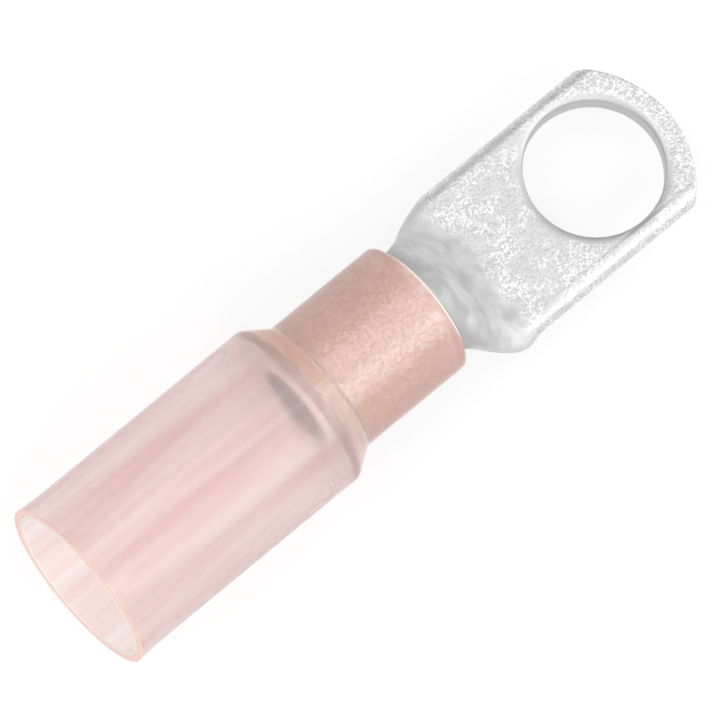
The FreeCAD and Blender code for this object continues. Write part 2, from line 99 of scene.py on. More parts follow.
class Graph:
    """A node tree that is filled by short calls."""

    def __init__(self, tree: bpy.types.NodeTree) -> None:
        """Start from an empty tree.

        Args:
            tree: The tree of a material or of the world.
        """
        self.tree = tree
        tree.nodes.clear()

    def add(
        self, kind: str, values: dict[str, Any] | None = None, **settings: Any
    ) -> bpy.types.Node:
        """Add a node and set its inputs.

        Args:
            kind: The node's type, without the prefix that all shader nodes share.
            values: Numbers, colours or sockets for the inputs, by their names or places.
            **settings: Values for the node's own properties.

        Returns:
            The new node.
        """
        node = self.tree.nodes.new("ShaderNode" + kind)
        for name, value in settings.items():
            setattr(node, name, value)
        for name, value in (values or {}).items():
            self.feed(node.inputs[name], value)
        return node

    def feed(self, socket: bpy.types.NodeSocket, value: Any) -> None:
        """Link a socket into an input, or set the input's own value.

        Args:
            socket: The input.
            value: Another node's output, a number, a grey or a colour.
        """
        if isinstance(value, bpy.types.NodeSocket):
            self.tree.links.new(value, socket)
        elif socket.type == "RGBA":
            socket.default_value = (*as_colour(value), 1.0)
        else:
            socket.default_value = value

    def noise(self, place: Any, grain: float, detail: float = 3.0, roughness: float = 0.5) -> Any:
        """Add a noise whose grains have a real size.

        Args:
            place: The socket that gives the place.
            grain: The size of a grain, in millimetres.
            detail: How many finer layers it has.
            roughness: How strong the finer layers are.

        Returns:
            The socket of the noise, from 0 to 1.
        """
        scale = 1 / (grain * MM)
        values = {"Vector": place, "Scale": scale, "Detail": detail, "Roughness": roughness}
        return self.add("TexNoise", values).outputs["Fac"]

    def ramp(self, value: Any, stops: Sequence[tuple[float, Tone]]) -> Any:
        """Map a number to colours or greys.

        Args:
            value: The socket of the number.
            stops: Places from 0 to 1, each with a colour or a grey.

        Returns:
            The socket of the colour.
        """
        node = self.add("ValToRGB", {"Fac": value})
        elements = node.color_ramp.elements
        while len(elements) < len(stops):
            elements.new(0.5)
        for element, (place, tone) in zip(elements, stops):
            element.position = place
            element.color = (*as_colour(tone), 1.0)
        return node.outputs["Color"]

    def tones(self, value: Any, edge: Point, first: Tone, second: Tone) -> Any:
        """Pass from one tone to another between two levels of a number."""
        return self.ramp(value, [(edge[0], first), (edge[1], second)])

    def blend(self, share: Any, first: Any, second: Any) -> Any:
        """Mix two colours.

        Args:
            share: How much of the second, as a number or a socket.
            first: A colour or a socket.
            second: A colour or a socket.

        Returns:
            The socket of the mixed colour.
        """
        node = self.add("Mix", data_type="RGBA")
        self.feed(node.inputs[0], share)
        self.feed(node.inputs[6], first)
        self.feed(node.inputs[7], second)
        return node.outputs[2]

    def maths(self, operation: str, first: Any, second: Any = 0.0) -> Any:
        """Add a number node.

        Args:
            operation: The node's operation.
            first: A number or a socket.
            second: A number or a socket.

        Returns:
            The socket of the result.
        """
        node = self.add("Math", operation=operation)
        self.feed(node.inputs[0], first)
        self.feed(node.inputs[1], second)
        return node.outputs[0]

    def times(self, first: Any, second: Any) -> Any:
        """Multiply two numbers."""
        return self.maths("MULTIPLY", first, second)

    def less(self, first: Any, second: Any) -> Any:
        """Take the second number from the first."""
        return self.maths("SUBTRACT", first, second)

    def most(self, first: Any, second: Any) -> Any:
        """Give the higher of two numbers."""
        return self.maths("MAXIMUM", first, second)

    def ease(self, place: Any, start: float, end: float) -> Any:
        """Map a place to a share that grows from 0 to 1 between two others.

        Args:
            place: The socket of the place.
            start: Where the share is 0, in millimetres.
            end: Where it is 1, in millimetres.

        Returns:
            The socket of the share.
        """
        values = {"Value": place, "From Min": start * MM, "From Max": end * MM}
        return self.add("MapRange", values, interpolation_type="SMOOTHSTEP").outputs[0]

    def slope(self, value: Any, places: Point, lengths: Point) -> Any:
        """Map a place, in millimetres, to a length that changes evenly between two places.

        Args:
            value: The socket of the place.
            places: The two places.
            lengths: The length before the first and after the second.

        Returns:
            The socket of the length, in metres.
        """
        return self.add("MapRange", {
            "Value": value, "From Min": places[0] * MM, "From Max": places[1] * MM,
            "To Min": lengths[0] * MM, "To Max": lengths[1] * MM,
        }).outputs[0]

    def reach(self, first: Any, second: Any) -> Any:
        """Give the length that two sides of a right angle span."""
        squares = self.times(first, first), self.times(second, second)
        return self.maths("SQRT", self.maths("ADD", *squares))

    def from_axis(self, parts: Any, height: float) -> Any:
        """Give how far a place lies from the barrel's axis, whose height is in millimetres."""
        return self.reach(parts["Y"], self.less(parts["Z"], height * MM))

    def unbent(self, index: float, wetted: Any) -> Any:
        """Bring an index of refraction to 1 where a face is wetted, so that no light bends."""
        return self.less(index, self.times(wetted, index - 1.0))

    def bump(self, height: Any, depth: float, strength: Any, below: Any = None) -> Any:
        """Turn a height into a bent normal.

        Args:
            height: The socket of the height, from 0 to 1.
            depth: The real depth of the full height, in millimetres.
            strength: How much of it shows.
            below: The normal that it is laid over.

        Returns:
            The socket of the normal.
        """
        values = {"Strength": strength, "Distance": depth * MM, "Height": height}
        node = self.add("Bump", values)
        if below is not None:
            self.feed(node.inputs["Normal"], below)
        return node.outputs["Normal"]


def new_material(name: str) -> tuple[bpy.types.Material, Graph]:
    """Make a material with an empty node tree.

    Args:
        name: The material's name.

    Returns:
        The material and its graph.
    """
    material = bpy.data.materials.new(name)
    material.use_nodes = True
    return material, Graph(material.node_tree)


def dress(piece: bpy.types.Object, material: bpy.types.Material) -> None:
    """Give a piece one material.

    Args:
        piece: The piece, or a node of the frame.
        material: Its finish.
    """
    if not piece.material_slots:
        piece.data.materials.append(material)
    for place in piece.material_slots:
        place.material = material


def let_lamps_through(graph: Graph, shader: bpy.types.Node, tint: Colour) -> None:
    """Finish a clear material so that lamps reach what lies behind its thin wall.

    Args:
        graph: The material's graph.
        shader: What the camera sees.
        tint: The share of light that one face lets through.
    """
    path = graph.add("LightPath")
    lit = graph.most(path.outputs["Is Shadow Ray"], path.outputs["Is Diffuse Ray"])
    through = graph.add("BsdfTransparent", {"Color": tint})
    mixed = graph.add("MixShader", {0: lit, 1: shader.outputs[0], 2: through.outputs[0]})
    graph.add("OutputMaterial", {"Surface": mixed.outputs[0]})


@dataclass(frozen=True)
class TinPlate:
    """Matt tin on copper: pale, mottled by bright crystals, and burnished where it is pressed.

    The stud hole's wall is cut through by the punch; it and its rolled rim are grey and plain,
    partly as punched metal and partly as painted shade. An edge holds the
    two noise levels between which one tone passes into another. Of two strengths, the
    second is what the press adds.
    """

    spark: Colour = (0.98, 0.98, 0.98)
    plain: Colour = (0.71, 0.71, 0.715)
    dull: Colour = (0.58, 0.58, 0.585)
    burnished: Colour = (0.77, 0.77, 0.775)
    brushed: Colour = (0.95, 0.95, 0.95)
    smudged: Colour = (0.64, 0.64, 0.645)
    # painted shade: the darker grey of the neck right beside the sleeve's front
    painted_sleeve_shade: Colour = (0.56, 0.56, 0.565)
    # grey of the punched hole wall, which also stands as painted shade on the wall and its rolled
    # rim
    punched_grey_and_painted_shade: Colour = (0.56, 0.56, 0.565)
    matt: float = 0.46
    crystal_matt: float = 0.26
    pressed_matt: float = 0.74
    barrel_matt: float = 0.34
    crystal: float = 0.15
    crystal_edge: Point = (0.50, 0.58)
    crystal_depth: float = 0.035
    crystal_strength: float = 0.9
    dull_edge: Point = (0.34, 0.50)
    fleck: float = 0.22
    fleck_edge: Point = (0.45, 0.61)
    fleck_depth: float = 0.02
    fleck_strength: float = 0.28
    patch: float = 1.3
    patch_edge: Point = (0.45, 0.54)
    bare_patch: float = 0.05
    smudge: float = 1.4
    smudge_edge: Point = (0.35, 0.65)
    grain: float = 0.06
    grain_depth: float = 0.012
    grain_strengths: Point = (0.35, 0.4)
    dent: float = 0.6
    dent_depth: float = 0.06
    dent_strengths: Point = (0.2, 0.55)
    barrel_end: float = -14.0
    barrel_fade: float = 0.3
    press_end: float = -9.3
    press_fade: Point = (0.6, -0.4)
    # where the painted shade beside the sleeve starts and where it is full, measured from the
    # barrel's end
    painted_sleeve_shade_reach: Point = (2.0, 0.5)
    unevenness: float = 2.4
    # painted highlight: between these two places the bright crystals come to cover the whole
    # tongue
    painted_tip_highlight: Point = (1.0, 4.6)
    hole: float = 4.2
    # from the hole's edge: where the grey with its painted shade fades out and where it is full
    punched_and_shade_reach: Point = (0.55, 0.1)

    def material(self) -> bpy.types.Material:
        """Build the node material.

        Returns:
            The finish.
        """
        material, graph = new_material("tin_plate")
        place = graph.add("TexCoord").outputs["Object"]
        parts = graph.add("SeparateXYZ", {"Vector": place}).outputs
        crystals = graph.noise(place, self.crystal, 3.0, 0.65)
        patches = graph.noise(place, self.patch, 4.0, 0.6)
        grains = graph.noise(place, self.grain, 2.0, 0.5)
        dents = graph.noise(place, self.dent, 3.0, 0.55)
        smudges = graph.noise(place, self.smudge, 3.0, 0.5)
        flecks = graph.noise(place, self.fleck, 3.0, 0.6)

        uneven = graph.times(graph.less(smudges, 0.5), self.unevenness * MM)
        along = graph.maths("ADD", parts["X"], uneven)
        barrel = graph.ease(parts["X"], self.barrel_end, self.barrel_end - self.barrel_fade)
        pressed = graph.times(
            graph.ease(parts["X"], self.barrel_end - self.barrel_fade, self.barrel_end),
            graph.ease(along, *(self.press_end + reach for reach in self.press_fade)),
        )
        # painted shade of the sleeve's edge: the neck darkens towards the sleeve, with an uneven
        # border
        painted_sleeve_shade = graph.ease(along, *(self.barrel_end + reach for reach in self.painted_sleeve_shade_reach))
        from_hole = graph.reach(parts["X"], parts["Y"])
        # partly punched metal, partly painted shade: the hole's wall and its rolled rim go grey
        cut = graph.ease(from_hole, *(self.hole + reach for reach in self.punched_and_shade_reach))
        plain = graph.less(1.0, graph.most(pressed, cut))

        crystal_patches_and_tip_highlight = graph.tones(patches, self.patch_edge, self.bare_patch, 1.0)
        # painted highlight: towards the tip every crystal is bright and smoother, on top of the
        # random patches
        crystal_patches_and_tip_highlight = graph.most(crystal_patches_and_tip_highlight, graph.ease(parts["X"], *self.painted_tip_highlight))
        sparks = graph.tones(crystals, self.crystal_edge, 0.0, 1.0)
        lit = graph.times(graph.times(sparks, crystal_patches_and_tip_highlight), plain)
        quiet = graph.tones(crystals, self.dull_edge, self.dull, self.plain)
        mottle = graph.blend(lit, quiet, self.spark)
        soft = graph.tones(smudges, self.smudge_edge, self.smudged, self.burnished)
        soft = graph.blend(painted_sleeve_shade, soft, self.painted_sleeve_shade)
        brushed = graph.tones(flecks, self.fleck_edge, self.plain, self.brushed)
        tone = graph.blend(barrel, graph.blend(pressed, mottle, soft), brushed)
        tone = graph.blend(cut, tone, self.punched_grey_and_painted_shade)
        rough = graph.blend(lit, self.matt, self.crystal_matt)
        rough = graph.blend(pressed, rough, self.pressed_matt)
        rough = graph.blend(barrel, rough, self.barrel_matt)

        dented, grained = (
            graph.maths("ADD", graph.times(pressed, added), own)
            for own, added in (self.dent_strengths, self.grain_strengths)
        )
        bright = graph.times(plain, self.crystal_strength)
        hammered = graph.times(barrel, self.fleck_strength)
        normal = graph.bump(dents, self.dent_depth, dented)
        normal = graph.bump(crystals, self.crystal_depth, bright, normal)
        normal = graph.bump(flecks, self.fleck_depth, hammered, normal)
        normal = graph.bump(grains, self.grain_depth, grained, normal)
        shader = graph.add("BsdfPrincipled", {
            "Base Color": tone, "Metallic": 1.0, "Roughness": rough, "Normal": normal,
        })
        graph.add("OutputMaterial", {"Surface": shader.outputs[0]})
        return material


@dataclass(frozen=True)
class ShrinkTube:
    """Translucent pink polyolefin: clear and glossy, with a milky share of pigment.

    It is hazy behind the shoulder, and deeper where it has shrunk, at the stretched shoulder
    and at the mouth's cut rim. The adhesive shows as a cream patch at the shoulder. The
    liner wets its inner face, so no light is bent there.
    """

    # pale and deep are the tints of the lengthwise bands; the pale bands are painted highlights
    pale: Colour = (0.965, 0.935, 0.93)
    deep: Colour = (0.92, 0.77, 0.765)
    shrunk: Colour = (0.83, 0.86, 0.845)
    pigment: Colour = (0.88, 0.58, 0.565)
    shrunk_pigment: Colour = (0.97, 0.41, 0.31)
    rim: Colour = (0.87, 0.52, 0.44)
    hazy: Colour = (0.84, 0.64, 0.61)
    strained: Colour = (0.74, 0.49, 0.42)
    # a deeper red that the shoulder passes into towards +Y
    plus_y_shoulder_red: Colour = (0.72, 0.33, 0.22)
    cream: Colour = (0.84, 0.68, 0.48)
    pass_tint: Colour = (0.97, 0.91, 0.905)
    milk: float = 0.10
    shrunk_milk: float = 0.30
    hazy_milk: float = 0.24
    strained_milk: float = 0.50
    rim_milk: float = 0.85
    index: float = 1.52
    gloss: Point = (0.06, 0.12)
    gloss_edge: Point = (0.3, 0.7)
    streak: float = 1.1
    streak_stretch: Point3 = (0.06, 1.0, 1.0)
    # noise levels between which the tint passes from the pale painted highlight bands to the deep
    # ones
    highlight_band_edge: Point = (0.40, 0.60)
    streak_depth: float = 0.02
    streak_strength: float = 0.08
    cloud: float = 0.8
    height: float = 3.5
    wide_radius: float = 5.3
    narrow_radius: float = 4.13
    step: Point = (-23.5, -21.9)
    mouth: float = -40.35
    rim_depth: float = 0.06
    haze: Point = (-27.0, -23.4)
    drawn: Point = (-23.15, -21.65)
    shoulder: float = -22.55
    shoulder_reach: Point = (1.35, 0.2)
    # across the barrel, where the shoulder's deeper red towards +Y starts and where it is full
    plus_y_red_span: Point = (-3.5, 3.0)
    cream_centre: Point3 = (-22.75, -2.95, 7.0)
    cream_reach: Point = (1.15, 0.5)
    cream_unevenness: float = 0.9

    def material(self) -> bpy.types.Material:
        """Build the node material.

        Returns:
            The finish.
        """
        material, graph = new_material("shrink_tube")
        place = graph.add("TexCoord").outputs["Object"]
        stretching = {"Vector": place, "Scale": self.streak_stretch}
        stretched = graph.add("Mapping", stretching).outputs[0]
        streaks_and_painted_highlights = graph.noise(stretched, self.streak, 3.0, 0.55)
        cloud = graph.noise(place, self.cloud, 3.0)
        parts = graph.add("SeparateXYZ", {"Vector": place}).outputs
        drawn = graph.ease(parts["X"], *self.drawn)
        hazy = graph.times(graph.ease(parts["X"], *self.haze), graph.less(1.0, drawn))
        off = graph.maths("ABSOLUTE", graph.less(parts["X"], self.shoulder * MM))
        strain = graph.ease(off, *self.shoulder_reach)
        centre = tuple(value * MM for value in self.cream_centre)
        distance = graph.add("VectorMath", {0: place, 1: centre}, operation="DISTANCE")
        uneven = graph.times(cloud, self.cream_unevenness * MM)
        away = graph.maths("ADD", distance.outputs["Value"], uneven)
        creamy = graph.ease(away, *self.cream_reach)
        cut = graph.maths("LESS_THAN", parts["X"], (self.mouth + self.rim_depth) * MM)

        # painted highlights: lengthwise bands of pale and deep tint in the clear wall, over real
        # gloss and bump bands
        tint = graph.tones(streaks_and_painted_highlights, self.highlight_band_edge, 0.0, 1.0)
        tint = graph.blend(tint, self.pale, self.deep)
        tint = graph.blend(drawn, tint, self.shrunk)
        # towards +Y the shoulder's colour passes into a deeper red
        side = graph.ease(parts["Y"], *self.plus_y_red_span)
        strained = graph.blend(side, self.strained, self.plus_y_shoulder_red)
        pigment = graph.blend(drawn, self.pigment, self.shrunk_pigment)
        pigment = graph.blend(hazy, pigment, self.hazy)
        pigment = graph.blend(strain, pigment, strained)
        pigment = graph.blend(creamy, pigment, self.cream)
        pigment = graph.blend(cut, pigment, self.rim)
        share = graph.times(drawn, self.shrunk_milk - self.milk)
        share = graph.maths("ADD", share, self.milk)
        for where, milk in (
            (graph.most(strain, creamy), self.strained_milk),
            (hazy, self.hazy_milk),
            (cut, self.rim_milk),
        ):
            share = graph.most(share, graph.times(where, milk))

        bond = graph.slope(parts["X"], self.step, (self.wide_radius, self.narrow_radius))
        inside = graph.maths("LESS_THAN", graph.from_axis(parts, self.height), bond)
        wetted = graph.times(inside, graph.less(1.0, cut))
        rough = graph.tones(streaks_and_painted_highlights, self.gloss_edge, *self.gloss)
        normal = graph.bump(streaks_and_painted_highlights, self.streak_depth, self.streak_strength)
        clear = graph.add("BsdfPrincipled", {
            "Base Color": tint, "Roughness": rough, "Normal": normal,
            "Transmission Weight": 1.0, "IOR": graph.unbent(self.index, wetted),
        })
        milky = graph.add("BsdfPrincipled", {
            "Base Color": pigment, "Roughness": rough, "Normal": normal, "IOR": self.index,
        })
        share = graph.times(share, graph.less(1.0, wetted))
        shader = graph.add("MixShader", {0: share, 1: clear.outputs[0], 2: milky.outputs[0]})
        let_lamps_through(graph, shader, self.pass_tint)
        return material


@dataclass(frozen=True)
class HotMelt:
    """Hot melt adhesive: translucent, and cream at its cut rim and where it gathers.

    It wets the jacket all along and the tin on the barrel, so it bends no light there.
    """

    clear: Colour = (0.985, 0.972, 0.97)
    cream: Colour = (0.975, 0.95, 0.925)
    bead: Colour = (0.95, 0.89, 0.76)
    pass_tint: Colour = (0.98, 0.975, 0.97)
    clear_share: float = 0.93
    bead_clear_share: float = 0.35
    index: float = 1.50
    gloss: Point = (0.12, 0.22)
    gloss_edge: Point = (0.3, 0.7)
    gathered_matt: float = 0.34
    gathered_reach: float = 3.0
    flow: float = 0.9
    flow_depth: float = 0.02
    flow_strength: float = 0.06
    height: float = 3.5
    wide_radius: float = 4.97
    narrow_radius: float = 3.665
    step: Point = (-23.77, -22.17)
    mouth: float = -40.35
    rim_depth: float = 0.06
    front: float = -13.98

    def material(self) -> bpy.types.Material:
        """Build the node material.

        Returns:
            The finish.
        """
        material, graph = new_material("hot_melt")
        place = graph.add("TexCoord").outputs["Object"]
        flow = graph.noise(place, self.flow, 3.0, 0.5)
        parts = graph.add("SeparateXYZ", {"Vector": place}).outputs
        squeezed = graph.maths("GREATER_THAN", parts["X"], self.front * MM)
        cut = graph.maths("LESS_THAN", parts["X"], (self.mouth + self.rim_depth) * MM)
        seen = graph.most(squeezed, cut)
        tone = graph.blend(flow, self.clear, self.cream)
        tone = graph.blend(seen, tone, self.bead)
        bond = graph.slope(parts["X"], self.step, (self.wide_radius, self.narrow_radius))
        outside = graph.maths("GREATER_THAN", graph.from_axis(parts, self.height), bond)
        shrunk = graph.maths("GREATER_THAN", parts["X"], self.step[1] * MM)
        wetted = graph.times(graph.most(outside, shrunk), graph.less(1.0, seen))
        clear = graph.add("MapRange", {
            "Value": seen, "To Min": self.clear_share, "To Max": self.bead_clear_share,
        }).outputs[0]
        gathered = graph.ease(parts["X"], self.step[0] - self.gathered_reach, self.step[0])
        rough = graph.tones(flow, self.gloss_edge, *self.gloss)
        rough = graph.blend(gathered, rough, self.gathered_matt)
        shader = graph.add("BsdfPrincipled", {
            "Base Color": tone, "Roughness": rough,
            "Normal": graph.bump(flow, self.flow_depth, self.flow_strength),
            "Transmission Weight": graph.most(clear, wetted),
            "IOR": graph.unbent(self.index, wetted),
        })
        let_lamps_through(graph, shader, self.pass_tint)
        return material


class Skin:
    """A closed mesh that is put together from strips of quads."""

    def __init__(self) -> None:
        """Start with no point and no face."""
        self.points: list[Point3] = []
        self.faces: list[tuple[int, ...]] = []
        self.known: dict[tuple[int, int, int], int] = {}

    def point(self, place: Point3) -> int:
        """Give the number of a point, and share it where one lies there already.

        Args:
            place: The point, in millimetres.

        Returns:
            Its number.
        """
        key = tuple(round(value / TINY) for value in place)
        if key not in self.known:
            self.known[key] = len(self.points)
            self.points.append(place)
        return self.known[key]

    def face(self, corners: Sequence[Point3]) -> None:
        """Add a face, without the corners that fall together.

        Args:
            corners: The face's corners, in order.
        """
        numbers = [self.point(corner) for corner in corners]
        kept = [a for a, b in zip(numbers, numbers[1:] + numbers[:1]) if a != b]
        if len(set(kept)) == len(kept) and len(kept) > 2:
            self.faces.append(tuple(kept))

    def strip(self, first: Sequence[Point3], second: Sequence[Point3], steps: int = 1) -> None:
        """Join two rows of points by quads.

        Args:
            first: The points of one row.
            second: The points of the other, as many.
            steps: How many quads each straight run of the rows is cut into.
        """
        if steps > 1:
            shares = [k / steps for k in range(steps)]
            first, second = (
                [between(*run, share) for run in zip(row, row[1:]) for share in shares] + [row[-1]]
                for row in (first, second)
            )
        for n in range(len(first) - 1):
            self.face((first[n], first[n + 1], second[n + 1], second[n]))

    def cap(self, loop: Sequence[Point3], start: int, end: int) -> None:
        """Close a flattened loop by joining its upper side to its lower side.

        Args:
            loop: The loop's points.
            start: The number of the point at one end of the upper side.
            end: The number of the point at its other end.
        """
        upper = list(loop[start:end + 1])
        lower = [*reversed(loop[:start + 1]), *reversed(loop[end:])]
        self.strip(upper, lower)

    def mesh(self, name: str) -> bpy.types.Mesh:
        """Make the mesh, in metres, with its faces turned outwards.

        Args:
            name: The mesh's name.

        Returns:
            The mesh.
        """
        mesh = bpy.data.meshes.new(name)
        mesh.from_pydata([tuple(v * MM for v in point) for point in self.points], [], self.faces)
        return finished(mesh)


def between(first: Point3, second: Point3, share: float) -> Point3:
    """Give a point on the straight run between two points."""
    return tuple(a + (b - a) * share for a, b in zip(first, second))


def finished(mesh: bpy.types.Mesh) -> bpy.types.Mesh:
    """Turn a mesh's faces outwards and shade it smooth between its sharp edges.

    Args:
        mesh: The mesh.

    Returns:
        The same mesh.
    """
    shape = bmesh.new()
    shape.from_mesh(mesh)
    bmesh.ops.recalc_face_normals(shape, faces=shape.faces)
    shape.to_mesh(mesh)
    shape.free()
    mesh.shade_smooth()
    mesh.set_sharp_from_angle(angle=CREASE_ANGLE)
    return mesh


def smooth(share: float) -> float:
    """Ease a share from 0 to 1 with a soft start and a soft end."""
    share = min(max(share, 0.0), 1.0)
    return share * share * (3 - 2 * share)


def round_drop(inward: float, radius: float) -> float:
    """Say how far a rounded edge lies under the flat beside it.

    Args:
        inward: How far the place is from the edge.
        radius: The rounding's radius.

    Returns:
        The drop, from nothing to the radius.
    """
    short = min(max(radius - inward, 0.0), radius)
    return radius - sqrt(radius * radius - short * short)


def gap_to_line(place: Point, line: Sequence[Point]) -> float:
    """Give the distance from a place to a line of straight runs.

    Args:
        place: The place.
        line: The points that the runs join.

    Returns:
        The distance to the nearest run.
    """
    nearest = 1e9
    for start, end in zip(line, line[1:]):
        run = (end[0] - start[0], end[1] - start[1])
        ahead = (place[0] - start[0]) * run[0] + (place[1] - start[1]) * run[1]
        share = min(max(ahead / (run[0] ** 2 + run[1] ** 2), 0.0), 1.0)
        foot = (start[0] + run[0] * share, start[1] + run[1] * share)
        nearest = min(nearest, hypot(place[0] - foot[0], place[1] - foot[1]))
    return nearest


class Imprint(Enum):
    """How a mark stands in the pressed metal."""

    FURROW = -1.0
    RIDGE = 1.0


@dataclass(frozen=True)
class Mark:
    """A line that the press has left in the top of the metal."""

    kind: Imprint
    line: tuple[Point, ...]
    height: float
    width: float

    def at(self, place: Point) -> float:
        """Give the mark's height at a place of the plan."""
        gap = gap_to_line(place, self.line) / self.width
        return self.kind.value * self.height * exp(-gap * gap)


PRESS_MARKS = (
    Mark(Imprint.RIDGE, ((-11.3, 4.6), (-10.7, 3.9), (-10.2, 3.0), (-10.0, 1.9)), 0.06, 0.22),
    Mark(Imprint.FURROW, ((-11.8, 4.2), (-11.1, 3.4), (-10.7, 2.3), (-10.5, 1.0)), 0.04, 0.30),
    Mark(
        Imprint.FURROW, ((-9.55, -2.6), (-9.75, -3.4), (-10.05, -4.0), (-9.85, -4.6)), 0.045, 0.12
    ),
    Mark(Imprint.RIDGE, ((-9.95, -2.5), (-10.15, -3.2), (-10.4, -3.9)), 0.05, 0.17),
    Mark(Imprint.FURROW, ((-10.3, -2.2), (-10.6, -3.1), (-11.0, -4.0)), 0.045, 0.15),
    Mark(Imprint.FURROW, ((-11.0, -1.2), (-11.3, -2.1), (-11.1, -2.9)), 0.05, 0.22),
    Mark(Imprint.RIDGE, ((-11.7, -0.6), (-11.5, -1.9), (-11.6, -2.9)), 0.05, 0.30),
    Mark(Imprint.RIDGE, ((-12.3, 2.2), (-11.9, 1.1), (-12.1, 0.1)), 0.05, 0.35),
    Mark(Imprint.FURROW, ((-6.6, -4.22), (-3.0, -4.30), (1.2, -4.26), (3.6, -4.30)), 0.014, 0.08),
    Mark(Imprint.RIDGE, ((-6.6, -4.42), (-3.0, -4.50), (1.2, -4.46), (3.6, -4.50)), 0.015, 0.10),
    Mark(Imprint.FURROW, ((-7.3, 0.9), (-7.5, 1.7), (-8.1, 2.1)), 0.025, 0.10),
    Mark(Imprint.RIDGE, ((-7.5, 0.8), (-7.75, 1.5), (-8.2, 1.8)), 0.015, 0.08),
    Mark(Imprint.FURROW, ((-6.2, 3.9), (-6.9, 3.2), (-7.6, 3.3)), 0.025, 0.10),
    Mark(Imprint.FURROW, ((-8.9, -0.4), (-8.5, -0.1), (-8.1, -0.2)), 0.030, 0.10),
    Mark(Imprint.FURROW, ((-7.9, -3.0), (-7.5, -3.3), (-7.6, -3.8), (-8.1, -4.0)), 0.030, 0.10),
    Mark(Imprint.FURROW, ((-5.6, 0.2), (-5.9, -0.6), (-6.5, -0.9)), 0.025, 0.09),
)


